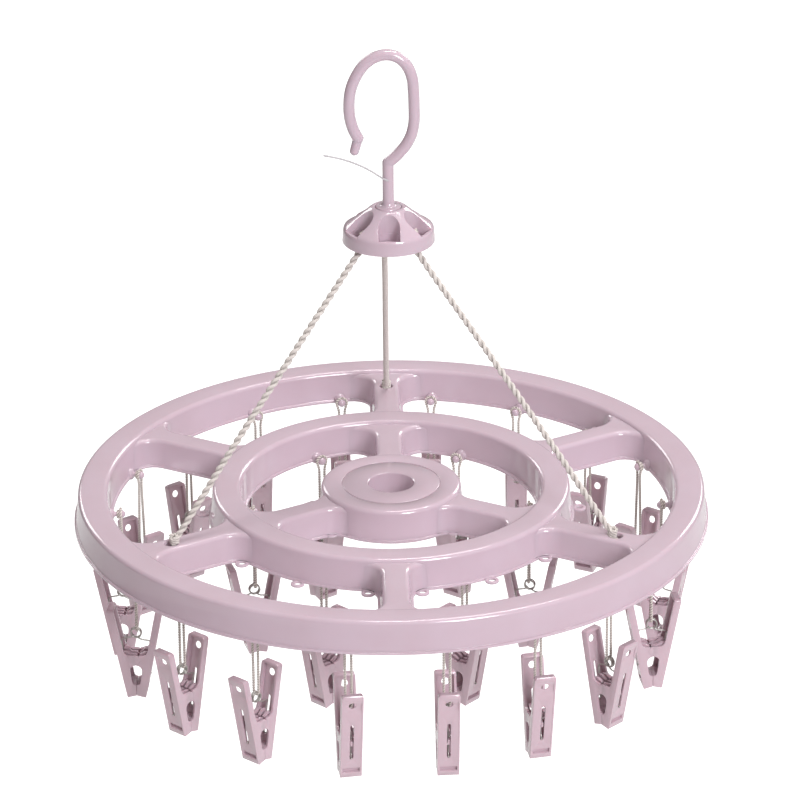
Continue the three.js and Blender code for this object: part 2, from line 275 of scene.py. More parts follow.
def tube(path, radius, sides):
    """A tube with round ends along a line of points. radius is one number or one per point."""
    path, tangent, normal, side = frames_along(path)
    radius = np.broadcast_to(np.asarray(radius, float), (len(path),)).copy()
    head, tail = [], []
    for k in (0.0, 0.38, 0.71, 0.92):
        head.append((path[0] - tangent[0] * radius[0] * (1 - k) ** 0.5 * 0.8,
                     radius[0] * max(k, 0.12) ** 0.5))
        tail.insert(0, (path[-1] + tangent[-1] * radius[-1] * (1 - k) ** 0.5 * 0.8,
                        radius[-1] * max(k, 0.12) ** 0.5))
    path = np.concatenate([[h[0] for h in head], path, [t[0] for t in tail]])
    radius = np.concatenate([[h[1] for h in head], radius, [t[1] for t in tail]])
    normal = np.concatenate([[normal[0]] * len(head), normal, [normal[-1]] * len(tail)])
    side = np.concatenate([[side[0]] * len(head), side, [side[-1]] * len(tail)])
    a = np.linspace(0, 2 * math.pi, sides, endpoint=False)
    ring = (path[:, None] + radius[:, None, None] * (normal[:, None] * np.cos(a)[None, :, None]
                                                     + side[:, None] * np.sin(a)[None, :, None]))
    return ring.reshape(-1, 3), capped_faces(len(path), sides)


def spline(points, step):
    """A smooth line through points (centripetal Catmull-Rom), resampled at an even step."""
    p = [np.asarray(x, float) for x in points]
    p = [2 * p[0] - p[1]] + p + [2 * p[-1] - p[-2]]
    dense = []
    for i in range(1, len(p) - 2):
        p0, p1, p2, p3 = p[i - 1:i + 3]
        t0 = 0.0
        t1 = t0 + np.linalg.norm(p1 - p0) ** 0.5
        t2 = t1 + np.linalg.norm(p2 - p1) ** 0.5
        t3 = t2 + np.linalg.norm(p3 - p2) ** 0.5
        for t in np.linspace(t1, t2, 24, endpoint=False):
            a1 = (t1 - t) / (t1 - t0) * p0 + (t - t0) / (t1 - t0) * p1
            a2 = (t2 - t) / (t2 - t1) * p1 + (t - t1) / (t2 - t1) * p2
            a3 = (t3 - t) / (t3 - t2) * p2 + (t - t2) / (t3 - t2) * p3
            b1 = (t2 - t) / (t2 - t0) * a1 + (t - t0) / (t2 - t0) * a2
            b2 = (t3 - t) / (t3 - t1) * a2 + (t - t1) / (t3 - t1) * a3
            dense.append((t2 - t) / (t2 - t1) * b1 + (t - t1) / (t2 - t1) * b2)
    dense.append(p[-2])
    dense = np.array(dense)
    run = np.concatenate([[0], np.cumsum(np.linalg.norm(np.diff(dense, axis=0), axis=1))])
    count = max(2, int(round(run[-1] / step)) + 1)
    at = np.linspace(0, run[-1], count)
    return np.stack([np.interp(at, run, dense[:, k]) for k in range(3)], axis=1)


def twisted(shape, path, ply, spread, pitch, plies=2, sides=8, phase=0.0):
    """Strands laid round one another along a path; each point carries a painted shade value, 1 in
    the hollows between the strands.
    """
    path, _, normal, side = frames_along(path)
    run = np.concatenate([[0], np.cumsum(np.linalg.norm(np.diff(path, axis=0), axis=1))])
    a = np.linspace(0, 2 * math.pi, sides, endpoint=False)
    for k in range(plies):
        turn = 2 * math.pi * (run / pitch + k / plies) + phase
        out = normal * np.cos(turn)[:, None] + side * np.sin(turn)[:, None]
        centre = path + out * spread
        t = np.gradient(centre, axis=0)
        t /= np.linalg.norm(t, axis=1)[:, None]
        u = out - (out * t).sum(1)[:, None] * t
        u /= np.linalg.norm(u, axis=1)[:, None]
        v = np.cross(t, u)
        ring = (centre[:, None] + ply * (u[:, None] * np.cos(a)[None, :, None]
                                         + v[:, None] * np.sin(a)[None, :, None]))
        # Painted shade: 0 on each strand's crown, rising to 1 where it faces the rope's middle,
        # between the strands.
        tone = np.tile(0.5 - 0.5 * np.cos(a), len(path))
        shape.add(ring.reshape(-1, 3), capped_faces(len(path), sides), tone=tone)
    return shape


# ------------------------------------------------------------------ materials
def node_material(name):
    """A new material, with its nodes, its links and its shader."""
    material = bpy.data.materials.new(name)
    material.use_nodes = True
    nodes = material.node_tree.nodes
    return material, nodes, material.node_tree.links, nodes["Principled BSDF"]


def add_noise(nodes, links, scale, detail=2):
    """Noise in the object's own space."""
    where = nodes.new("ShaderNodeTexCoord")
    noise = nodes.new("ShaderNodeTexNoise")
    noise.inputs["Scale"].default_value = scale
    noise.inputs["Detail"].default_value = detail
    links.new(where.outputs["Object"], noise.inputs["Vector"])
    return noise


def add_ramp(nodes, links, value, low, high, reach=(0, 1)):
    """A colour between two, as value goes through reach."""
    ramp = nodes.new("ShaderNodeValToRGB")
    for element, colour, at in zip(ramp.color_ramp.elements, (low, high), reach):
        element.position = at
        element.color = (*colour, 1)
    links.new(value, ramp.inputs["Fac"])
    return ramp.outputs["Color"]


def add_range(nodes, links, value, low, high, reach=(0, 1)):
    """A number between low and high, as value goes through reach."""
    level = nodes.new("ShaderNodeMapRange")
    level.inputs["From Min"].default_value, level.inputs["From Max"].default_value = reach
    level.inputs["To Min"].default_value, level.inputs["To Max"].default_value = low, high
    links.new(value, level.inputs["Value"])
    return level.outputs["Result"]


def add_bump(nodes, links, height, strength):
    """A shallow relief."""
    bump = nodes.new("ShaderNodeBump")
    bump.inputs["Strength"].default_value = strength
    bump.inputs["Distance"].default_value = 0.0002
    links.new(height, bump.inputs["Height"])
    return bump.outputs["Normal"]


def moulded_plastic(name, colour, deep, roughness, scatter):
    """Glossy lilac polypropylene: faint flow marks in its colour, gloss and surface."""
    material, nodes, links, shader = node_material(name)
    shader.inputs["Subsurface Weight"].default_value = scatter
    shader.inputs["Subsurface Radius"].default_value = (1.0, 0.55, 0.6)
    shader.inputs["Subsurface Scale"].default_value = 0.0025
    shader.inputs["IOR"].default_value = 1.49
    shader.inputs["Coat Weight"].default_value = 0.6
    shader.inputs["Coat Roughness"].default_value = 0.05
    flow = add_noise(nodes, links, 38, 3).outputs["Fac"]
    grain = add_noise(nodes, links, 900).outputs["Fac"]
    links.new(add_ramp(nodes, links, flow, deep, colour, (0.35, 0.65)), shader.inputs["Base Color"])
    links.new(add_range(nodes, links, flow, roughness - 0.05, roughness + 0.07),
              shader.inputs["Roughness"])
    links.new(add_bump(nodes, links, grain, 0.03), shader.inputs["Normal"])
    return material


def spun_yarn(name, light, groove_shade_colour, grain_scale, groove_shade_strength):
    """Matt spun yarn: paler on the strands' crowns, with painted shade darkening the hollows
    between them, and random variation from the fibres.
    """
    material, nodes, links, shader = node_material(name)
    shader.inputs["Roughness"].default_value = 0.85
    shader.inputs["Sheen Weight"].default_value = 0.25
    shader.inputs["Sheen Roughness"].default_value = 0.5
    fibre = add_noise(nodes, links, grain_scale, 4).outputs["Fac"]
    # Painted shade: the per-point value from the mesh darkens the yarn where the strands meet, and
    # the fibre noise adds random variation.
    tone = nodes.new("ShaderNodeAttribute")
    tone.attribute_name = "tone"
    depth = nodes.new("ShaderNodeMath")
    depth.operation = "MULTIPLY_ADD"
    depth.inputs[1].default_value = groove_shade_strength
    depth.use_clamp = True
    links.new(tone.outputs["Fac"], depth.inputs[0])
    links.new(add_range(nodes, links, fibre, 0, 0.3, (0.35, 0.65)), depth.inputs[2])
    links.new(add_ramp(nodes, links, depth.outputs["Value"], light, groove_shade_colour),
              shader.inputs["Base Color"])
    links.new(add_bump(nodes, links, fibre, 0.5), shader.inputs["Normal"])
    return material


def drawn_wire():
    """Bright spring wire, duller in patches."""
    material, nodes, links, shader = node_material("spring_steel")
    shader.inputs["Metallic"].default_value = 0.7
    noise = add_noise(nodes, links, 700).outputs["Fac"]
    links.new(add_ramp(nodes, links, noise, (0.36, 0.34, 0.32), (0.62, 0.60, 0.57)),
              shader.inputs["Base Color"])
    links.new(add_range(nodes, links, noise, 0.28, 0.45), shader.inputs["Roughness"])
    return material


def clear_nylon():
    """Milky nylon for the thread and the snap ring."""
    material, nodes, links, shader = node_material("nylon")
    shader.inputs["Roughness"].default_value = 0.35
    noise = add_noise(nodes, links, 300).outputs["Fac"]
    links.new(add_ramp(nodes, links, noise, (0.46, 0.43, 0.45), (0.56, 0.53, 0.55)),
              shader.inputs["Base Color"])
    return material


lilac = moulded_plastic("lilac_plastic", (0.545, 0.418, 0.488), (0.530, 0.402, 0.466),
                        roughness=0.15, scatter=0.12)
clip_lilac = moulded_plastic("clip_plastic", (0.558, 0.408, 0.468), (0.543, 0.392, 0.448),
                             roughness=0.22, scatter=0.15)
# Each yarn's second colour is painted shade for where its strands meet.
rope_yarn = spun_yarn("rope_yarn", (0.71, 0.65, 0.615), (0.35, 0.31, 0.29), 1100, 0.75)
cord_yarn = spun_yarn("cord_yarn", (0.84, 0.765, 0.72), (0.19, 0.15, 0.13), 2500, 0.95)
steel = drawn_wire()
nylon = clear_nylon()

# ------------------------------------------------------------------ ropes and clip cords
ROPE_HOLE_AT = 138.0  # radius of the holes in the spokes
ROPE_END_AT = 136.6  # the rope lies against the hub's side of its hole
ROPE_KNOT_AT = 15.6  # radius of the knots in the cap
NICHE_FLOOR = -98.6
# Azimuth, ply radius, ply offset, pitch, plies and how far the rope is drawn aside at the cap.
ROPES = {"rope_right": (330, 1.02, 0.88, 9.2, 2, -2.4),
         "rope_back": (90, 0.93, 0.82, 6.4, 3, -1.7),
         "rope_left": (210, 1.02, 0.88, 9.2, 2, 1.2)}


def rope_route(angle, aside):
    """The rope's middle line: out of its niche, through the cap's deck, and straight to the
    hole in its spoke."""
    a = math.radians(angle)
    stops = [(ROPE_KNOT_AT, 0, NICHE_FLOOR + 3), (ROPE_KNOT_AT + 0.2, 0, NICHE_FLOOR - 1),
             (ROPE_KNOT_AT + 1.1, 0.5, NICHE_FLOOR - 3.8), (21.0, 1, -106.4), (60, 0.7, -153.2),
             (100, 0.37, -202), (ROPE_END_AT - 3.4, 0.02, -HEIGHT + 2),
             (ROPE_END_AT - 0.3, 0, -HEIGHT - STEP + 0.8), (ROPE_END_AT + 0.4, 0, -HEIGHT - 7)]
    return spline([(r * math.cos(a) + aside * k, r * math.sin(a), z) for r, k, z in stops], 0.75)


def coil_path(centre, radius, rise, turns, phase=0.0, tilt=None):
    """A few turns of line round a vertical axis, or one tilted by a rotation."""
    n = int(turns * 16) + 1
    t = np.linspace(0, turns, n)
    a = 2 * math.pi * t + phase
    p = np.stack([radius * np.cos(a), radius * np.sin(a), rise * (t - turns / 2)], axis=1)
    if tilt is not None:
        p = p @ np.array(tilt.to_matrix()).T
    return p + np.asarray(centre)


def make_rope(name, angle, ply, spread, pitch, plies, aside):
    """One rope's strands, its knot in the cap and its collar at the spoke."""
    route = rope_route(angle, aside)
    a = math.radians(angle)
    out = np.array((math.cos(a), math.sin(a), 0))
    side = np.array((-math.sin(a), math.cos(a), 0))
    # The knot in the niche: two close turns of the rope over its own end, and the loose end.
    top = out * (ROPE_KNOT_AT - 0.4) + np.array((0, 0, NICHE_FLOOR + 1.9))
    knot = twisted(Shape(), coil_path(top, 1.5, 1.9, 1.5, 0.4, Quaternion(Vector(side), 0.5)),
                   ply * 0.85, spread * 0.7, pitch * 0.7)
    tail = spline([top + side * 1.0 + np.array((0, 0, 0.3)),
                   top + side * 2.0 + np.array((0, 0, 1.2)),
                   top + side * 2.6 + out * 0.8 + np.array((0, 0, 1.8))], 0.6)
    twisted(knot, tail, ply * 0.8, spread * 0.7, pitch * 0.7)
    place(name + "_knot", knot.mesh(name + "_knot", rope_yarn, 60, with_painted_groove_shade=True), "cap")
    # The collar at the spoke: the rope's end wrapped three times round it, half sunk in the
    # hole, and the stopper knot below.
    low = out * (ROPE_END_AT - 0.5) + np.array((0, 0, -HEIGHT - STEP + 1.5))
    collar = twisted(Shape(), coil_path(low, 1.85, 1.45, 3.3, 1.0, Quaternion(Vector(side), 0.2)),
                     ply * 0.6, spread * 0.5, pitch * 0.5)
    under = out * ROPE_END_AT + np.array((0, 0, -HEIGHT - STEP - 5.3))
    twisted(collar, coil_path(under, 1.5, 2.1, 2.2, 0.0), ply, spread * 0.8, pitch * 0.7)
    collar_mesh = collar.mesh(name + "_collar", rope_yarn, 60, with_painted_groove_shade=True)
    place(name + "_collar", collar_mesh, "frame")
    shape = twisted(Shape(), route, ply, spread, pitch, plies)
    strands = shape.mesh(name + "_strands", rope_yarn, 60, with_painted_groove_shade=True)
    piece = place(name + "_strands", strands, None, (name,))
    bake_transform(piece)


for rope_name, rope_facts in ROPES.items():
    make_rope(rope_name, *rope_facts)

OUTER_PEG_RADIUS = 150.0
MIDDLE_PEG_RADIUS = 76.7
# How far each clip is turned on its cord at rest, in degrees.
OUTER_TURN = (-22, 30, 22, 30, 8, -5, -20, -12, -34, -5, -25, 7, -12, 19, -7, -18, -5, 28)
MIDDLE_TURN = (-12, -8, 6, 15, -15, 18)
PEGS = ([(OUTER_PEG_RADIUS, 20 * i, t) for i, t in enumerate(OUTER_TURN)]
        + [(MIDDLE_PEG_RADIUS, 60 * i, t) for i, t in enumerate(MIDDLE_TURN)])
CORD_DROP = 47.5  # from the peg's axis down to the middle of the spring's coil
COIL_HEIGHT = 37.0  # of the coil over the jaw tips
LOOP_HALF = 1.7  # half the distance between the loop's two strands
CORD_PLY, CORD_SPREAD, CORD_PITCH = 0.44, 0.42, 3.0
WRAP_AT, WRAP_RADIUS = 0.95, 1.85  # of the turn of cord that stays on each peg


def loop_route(turn):
    """The cord loop about its peg, with the peg's axis along X through the origin: round the
    peg's neck, down, through the coil's eye and back up, twisted on the way by the clip's turn."""
    eye = -CORD_DROP + 1.4
    half = [(0, 2.9), (1.5, 2.55), (2.7, 1.2), (3.0, -0.4), (2.5, -2.2), (LOOP_HALF + 0.1, -5),
            (LOOP_HALF, -12), (LOOP_HALF, -23), (LOOP_HALF, -34), (LOOP_HALF, eye + 4.5),
            (1.6, eye + 1.7), (0.85, eye + 0.3), (0, eye)]
    both = half + [(-y, z) for y, z in half[-2:0:-1]] + [(-0.35, 2.87)]
    stops = []
    for y, z in both:
        k = min(max(-z / CORD_DROP, 0), 1)
        t = math.radians(turn) * k * k * (3 - 2 * k)
        stops.append((-0.5 - y * math.sin(t), y * math.cos(t), z))
    return spline(stops, 0.32)


def peg_matrix(radius, angle, turn=0.0):
    """A clip's own axes: the origin on its peg, and X pointing outwards before the turn."""
    a = math.radians(angle)
    at = Vector((radius * math.cos(a), radius * math.sin(a), -HEIGHT - PEG_DROP)) * MM
    return Matrix.Translation(at) @ Matrix.Rotation(a + math.radians(turn), 4, "Z")


def cord_mesh(name, line, phase=0.0):
    """The two plies of a clip's cord along a line."""
    cord = twisted(Shape(), line, CORD_PLY, CORD_SPREAD, CORD_PITCH, sides=6, phase=phase)
    return cord.mesh(name, cord_yarn, 60, with_painted_groove_shade=True)


wrap_line = [(WRAP_AT, WRAP_RADIUS * math.cos(t), WRAP_RADIUS * math.sin(t))
             for t in np.linspace(0, 2 * math.pi, 29)]
wrap_mesh = cord_mesh("peg_wrap", wrap_line)
for number, (peg_radius, peg_angle, clip_turn) in enumerate(PEGS, 1):
    clip = f"clip_{number:02d}"
    matrix = peg_matrix(peg_radius, peg_angle)
    place(clip + "_wrap", wrap_mesh, "frame", matrix=matrix)
    loop_line = loop_route(clip_turn)
    loop_mesh = cord_mesh(clip + "_cord", loop_line, number)
    loop = place(clip + "_cord", loop_mesh, clip, matrix=matrix)

# ------------------------------------------------------------------ the frame moulding
LOW = -DEPTH
LIP = LOW + 1.4  # top of the rim along the walls' feet
ROUND = 2.6  # radius of the shoulder between a wall and the flat top
WALL = 1.8  # thickness
LIP_OUT = 1.2  # how far the rim stands out from the wall
SLOPE = 2.4  # how far a wall leans in over its height
OUTER_RING, MIDDLE_RING = (153.8, 175.0), (80.5, 101.0)  # inner and outer radius at the foot
HUB = 41.0  # radius
SPOKE_HALF = 9.6  # half width
FILLET = 10.0  # radius at a spoke's ends
PEG_FOOT = 0.6  # from a ring's inner radius out to the foot of its pegs
EYELET_OUT = 3  # from a ring's or the hub's rim to an eyelet's axis


def wall_profile(top):
    """One wall of the channel as [inset from the rim, height]: from inside its foot, round the
    rim, up the leaning wall and over the rounded shoulder to the flat top."""
    centre = SLOPE + ROUND
    shoulder = [(centre - ROUND * math.cos(t), top - ROUND + ROUND * math.sin(t))
                for t in np.linspace(0.05, math.pi / 2, 8)]
    rim = [(LIP_OUT + WALL, LOW), (0.35, LOW), (0.1, LOW + 0.1), (0, LOW + 0.35), (0, LIP - 0.35),
           (0.1, LIP - 0.1), (0.35, LIP), (0.85, LIP), (1.1, LIP + 0.1), (1.24, LIP + 0.4)]
    return rim + shoulder


def ring_profile(inner, outer):
    """A ring's section as [radius, height]: an upside-down channel."""
    profile = wall_profile(0)
    outside = [(outer - s, z) for s, z in profile]
    inside = [(inner + s, z) for s, z in profile[::-1]]
    hollow = [(inner + SLOPE + WALL - 0.1, -WALL - 0.6), (inner + SLOPE + WALL + 0.5, -WALL),
              (outer - SLOPE - WALL - 0.5, -WALL), (outer - SLOPE - WALL + 0.1, -WALL - 0.6)]
    return outside + inside + hollow


def hub_profile():
    """The hub's section, with the scored circle on its top and the hole in its middle."""
    outside = [(HUB - s, z) for s, z in wall_profile(0)]
    score = [(27.5, 0), (27.3, -0.12), (27.2, -0.5), (26.8, -0.5), (26.7, -0.12), (26.5, 0)]
    hole = [(13.5, 0), (12.95, -0.12), (12.6, -0.45), (12.5, -1.0), (12.0, LOW), (13.8, LOW),
            (14.3, -WALL), (HUB - SLOPE - WALL, -WALL)]
    return outside + score + hole


def spoke_plan(a, b, inset, z):
    """A spoke's outline along +X between the walls at radius a and b, drawn in by inset. Its
    ends lie inside those walls, deeper with height as the walls lean."""
    sunk = min(2.1 + max(z - LIP, 0) * 0.09, 3.4)
    near_r, far_r = a - sunk, b + sunk
    fillet, y = FILLET + inset, SPOKE_HALF + FILLET
    xn, xf = math.sqrt((a + FILLET) ** 2 - y * y), math.sqrt((b - FILLET) ** 2 - y * y)

    def meets(x, r, near):
        """Angle on the fillet circle where it meets the end circle, or its tangent point."""
        d = math.hypot(x, y)
        full = math.atan2(y, x) + (math.pi if near else 0)
        touch = d - fillet if near else d + fillet
        if (near and touch >= r) or (not near and touch <= r):
            return full
        c = (d * d + fillet * fillet - r * r) / (2 * d * fillet)
        swing = math.acos(max(-1, min(1, c)))
        return math.atan2(y, x) + math.pi + swing

    down = 1.5 * math.pi
    tn, tf = meets(xn, near_r, True), meets(xf, far_r, False)
    if tf < down:
        tf += 2 * math.pi
    side = [(x + fillet * math.cos(t), y + fillet * math.sin(t))
            for x, start, stop in ((xn, tn, down), (xf, down, tf))
            for t in np.linspace(start, stop, 7)]
    first, last = math.atan2(side[0][1], side[0][0]), math.atan2(side[-1][1], side[-1][0])
    near_end = [(near_r * math.cos(t), near_r * math.sin(t)) for t in np.linspace(-first, first, 9)]
    far_end = [(far_r * math.cos(t), far_r * math.sin(t)) for t in np.linspace(last, -last, 9)]
    below = [(x, -v) for x, v in side[::-1]]
    return [(x, v, z) for x, v in near_end + side + far_end + below]


def spoke(a, b):
    """A spoke along +X from the wall at radius a to the one at radius b."""
    under = [(LIP_OUT + WALL + 1.3, -STEP - WALL)]
    return loft([spoke_plan(a, b, s, z) for s, z in under + wall_profile(-STEP)])


def peg_profile():
    """The peg about Z, with the ring's wall at height 0 and the ball at its free end."""
    neck = [(3.6, -2.2), (3.3, 0.2), (2.7, 0.9), (1.7, 1.2), (1.32, 1.8), (1.28, 2.6), (1.3, 3.6)]
    ball = [(2.25 * math.cos(t), 5.2 + 2.25 * math.sin(t)) for t in np.linspace(-0.8, 1.45, 10)]
    return neck + ball


def holed(points, faces):
    """A spoke with its rope hole, which has a softened edge."""
    piece = linked("spoke", Shape().add(points, faces).mesh("spoke", lilac))
    drill = turned([(3.7, -9), (3.7, -2.75), (3.85, -2.3), (4.2, -1.98), (4.4, 1), (0.01, 1),
                    (0.01, -9)], 36)
    cut(piece, [Shape().add(*drill, Matrix.Translation((ROPE_HOLE_AT, 0, 0))).mesh("drill", lilac)])
    mesh = piece.data
    points = np.empty(len(mesh.vertices) * 3)
    mesh.vertices.foreach_get("co", points)
    faces = [tuple(p.vertices) for p in mesh.polygons]
    bpy.data.objects.remove(piece)
    return points.reshape(-1, 3) / MM, faces


def make_frame():
    """The rings, the hub, the spokes, the pegs and the eyelets as one moulding."""
    shape = Shape()
    shape.add(*turned(ring_profile(*OUTER_RING), 240))
    shape.add(*turned(ring_profile(*MIDDLE_RING), 168))
    shape.add(*turned(hub_profile(), 120))
    long_spoke = spoke(MIDDLE_RING[1], OUTER_RING[0])
    short_spoke = spoke(HUB, MIDDLE_RING[0])
    rope_spoke = holed(*long_spoke)
    for angle in SPOKE_ANGLES:
        shape.add(*(rope_spoke if angle in ROPE_ANGLES else long_spoke), spin(angle))
    for angle in ROPE_ANGLES:
        shape.add(*short_spoke, spin(angle))
    outline, sides = peg_profile(), 20
    points, faces = turned(outline, sides, closed=False)
    faces.append(tuple(i * len(outline) + len(outline) - 1 for i in range(sides)))
    flat = Matrix.Rotation(-math.pi / 2, 4, "Y")
    for inner, count in ((OUTER_RING[0], len(OUTER_TURN)), (MIDDLE_RING[0], len(MIDDLE_TURN))):
        for i in range(count):
            lay = Matrix.Translation((inner + PEG_FOOT, 0, -PEG_DROP)) @ flat
            shape.add(points, faces, spin(360 / count * i) @ lay)
    # The spare eyelets: three in each gap of the middle ring, two in each gap of the hub.
    ear = turned([(3.7, LOW + 0.3), (3.7, LIP - 0.3), (3.4, LIP), (2.2, LIP), (2.0, LIP - 0.2),
                  (2.0, LOW + 0.2), (2.2, LOW), (3.4, LOW)], 24)
    for starts, offsets, rim in ((SPOKE_ANGLES, (8, 30, 52), MIDDLE_RING[1]),
                                 (ROPE_ANGLES, (10.5, 109.5), HUB)):
        for start in starts:
            for offset in offsets:
                lay = spin(start + offset) @ Matrix.Translation((rim + EYELET_OUT, 0, 0))
                shape.add(*ear, lay)
    data = shape.mesh("frame_moulding", lilac, 34)
    data.transform(Matrix.Translation((0, 0, -HEIGHT * MM)))
    place("frame_moulding", data, "frame", ("frame",))


make_frame()

# ------------------------------------------------------------------ hook, cap and small parts
# The middle line of the hook's rod in X-Z, from the stem round to the nose.
HOOK_LINE = [(0, -57.85), (1.75, -56.55), (4.4, -54.3), (6.3, -52.2), (9.7, -48), (12.6, -42.2),
             (14.1, -35), (14.2, -26), (13.9, -17), (13.3, -10.5), (10.6, -3.4), (6, 1.3),
             (0, 3.05), (-6.1, 1.8), (-11.6, -1.9), (-16, -8), (-19.2, -15.6), (-20.4, -23.7),
             (-20.1, -31.8), (-18.3, -38.8), (-15.7, -44.2)]
ROD = 3.05  # radius


def make_hook():
    """The bent rod with its thinner nose, the stem with its flange and groove, and the thread."""
    shape = Shape()
    bend = spline([(x, 0, z) for x, z in HOOK_LINE], 1.0)
    shape.add(*tube(bend, ROD, 28))
    nose = spline([(-15.9, 0, -43.9), (-16.7, 0, -47), (-17.9, 0, -51.3)], 0.8)
    shape.add(*tube(nose, np.linspace(2.72, 2.5, len(nose)), 24))
    stem_top = [(ROD * math.cos(t), -57.9 + ROD * math.sin(t)) for t in np.linspace(0, 1.5, 8)]
    flange = [(6.9, -84.1), (6.9, -82.9), (6.75, -82.6), (6.4, -82.45), (4.8, -82.3),
              (4.05, -82.0), (3.5, -81.3), (3.2, -80.1), (3.08, -78.4), (ROD, -75)]
    groove = [(0.01, -54.85), (0.01, -101.0), (2.7, -101.0), (ROD, -100.6), (ROD, -99.5),
              (2.35, -99.5), (2.35, -98.1), (ROD, -98.1), (ROD, -84.1)]
    shape.add(*turned(flange + stem_top + groove, 48))
    place("hook_moulding", shape.mesh("hook_moulding", lilac, 40), "hook",
          ("hook",))
    pin = spline([(-0.1, -2.8, -67.2), (-2.2, -2.9, -66.2), (-4.9, -2.1, -64.7),
                  (-9.7, -0.8, -61.9), (-15.9, 0, -58.9), (-25, 0, -55.5), (-34.0, 0, -53.3)], 0.8)
    width = np.full(len(pin), 0.5)
    width[-3:] = (0.6, 0.68, 0.55)
    thread = Shape().add(*tube(pin, width, 10)).mesh("tag_thread", nylon)
    place("tag_thread", thread, "hook", ("tag_pin",))


make_hook()
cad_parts["stem_retainer"].data.materials.clear()
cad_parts["stem_retainer"].data.materials.append(nylon)


def niche_outline(half, front):
    """A niche in plan: straight sides, open to the front, and a round back."""
    return [(front, -half), (front, half)] + arc(16.2, 0, half, 90, 270, 14)


def make_cap():
    """A turned body with six niches cut into its slope and the rope holes through its deck."""
    outline = [(3.4, -100.3), (22.8, -100.3), (23.1, -102.1), (23.3, -102.4), (24.7, -102.4),
               (25.0, -102.0), (24.6, -96.6), (24.45, -95.4), (24.1, -94.5), (23.5, -93.7),
               (22.6, -92.9), (9.6, -83.3), (9.0, -82.95), (8.2, -82.8), (7.4, -82.9),
               (7.2, -83.2), (7.2, -84.4), (3.4, -84.4)]
    body = Shape().add(*turned(outline, 192)).mesh("cap_moulding", lilac, 30)
    piece = place("cap_moulding", body, None)
    tools = []
    upper = prism(niche_outline(5.9, 28), -94.5, -80)
    lower = prism(niche_outline(5.7, 22.5), NICHE_FLOOR, -94)
    for angle in SPOKE_ANGLES:
        for part in (upper, lower):
            tools.append(Shape().add(*part, spin(angle)).mesh("niche", lilac, 30))
    hole = turned([(2.6, -103), (2.6, -97), (0.01, -97), (0.01, -103)], 28)
    for angle in ROPE_ANGLES:
        lay = spin(angle) @ Matrix.Translation((ROPE_KNOT_AT + 0.4, 0, 0))
        tools.append(Shape().add(*hole, lay).mesh("rope_hole", lilac, 30))
    cut(piece, tools)
    bevel(piece, 0.32, 3, 35)
    smooth(piece.data, 42)
    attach(piece, "cap")
    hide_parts("cap")


make_cap()

# ------------------------------------------------------------------ clips
TIP_DROP = CORD_DROP + COIL_HEIGHT  # from the peg's axis to the tips of the jaws
TALL = 53.0
TIP_OUT, TOP_OUT = 5.2, 15.4  # from the middle to a jaw's back, at its tip and at its top
HALF = 5.8  # half width
PLATE = 1.3  # thickness of the back and the sides
FLANGE = 3.9  # depth of the sides above the web
PIVOT = 22.6  # height of the web's axis
CORNER = 1.7  # radius of the top corners


def lean(z):
    """How far a jaw's back is from the middle at height z."""
    return TIP_OUT + (TOP_OUT - TIP_OUT) * z / TALL


def cut_jaw(piece, tools):
    """Takes shapes out of a jaw."""
    cut(piece, [outward(Shape().add(*tool).mesh("tool", clip_lilac)) for tool in tools])


def plate_tools(inner):
    """What is taken out of a jaw: its hollow, and the details of its leaning back."""
    channel = [(3.9, 8.2), (lean(8.2) - PLATE, 8.2), (lean(51.6) - PLATE, 51.6), (-3, 51.6),
               (-3, 20.6), (3.9, 20.6)]
    tools = [slab(channel, -inner, inner),
             slab([(-3, 8.4), (4.2, 8.4), (4.2, 19.8), (-3, 19.8)], -inner, inner)]
    angle = math.atan2(TOP_OUT - TIP_OUT, TALL)

    def on_plate(z):
        return Matrix.Translation((lean(z), 0, z)) @ Matrix.Rotation(angle, 4, "Y")

    across = Matrix.Rotation(math.pi / 2, 4, "Y")
    hole = turned([(2.05, -4), (2.05, 4), (0.01, 4), (0.01, -4)], 24)
    tools.append((*hole, on_plate(46.6) @ across))
    slot = prism(arc(10.3, 0, 1.02, -90, 90, 8) + arc(-10.3, 0, 1.02, 90, 270, 8), -3, 3)
    tools.append((*slot, on_plate(22.9) @ across))
    dish = slab(arc(0, 0, 14, 0, 360, 40)[:-1], -HALF + 1.1, HALF - 1.1)
    tools.append((*dish, on_plate(45.4) @ Matrix.Translation((13.25, 0, 0))))
    face = slab([(-0.22, -36), (1, -36), (1, 36), (-0.22, 36)], -HALF + 0.75, HALF - 0.75)
    tools.append((*face, on_plate(26.5) @ Matrix.Scale(0.66, 4, (0, 0, 1))))
    window = [(lean(2.3) - 1.6, 3.4), (lean(2.3) + 1, 2.9), (lean(6) + 1, 6.1),
              (lean(5.6) - 1.6, 5.8)]
    tools.append(slab(window, -HALF + 1.2, HALF - 1.2))
    upright = Matrix(((0, 0, 1, 0), (1, 0, 0, 0), (0, 1, 0, 0), (0, 0, 0, 1)))
    r = CORNER
    for sign in (-1, 1):
        corner = [(sign * (HALF + 1), 51.2), (sign * HALF, 51.2)]
        corner += [(sign * (HALF - r + r * math.cos(t)), 51.2 + r * math.sin(t))
                   for t in np.linspace(0, math.pi / 2, 7)[1:]]
        corner += [(sign * (HALF - r), 54), (sign * (HALF + 1), 54)]
        tools.append((*prism(corner, -4, 22), upright))
    return tools


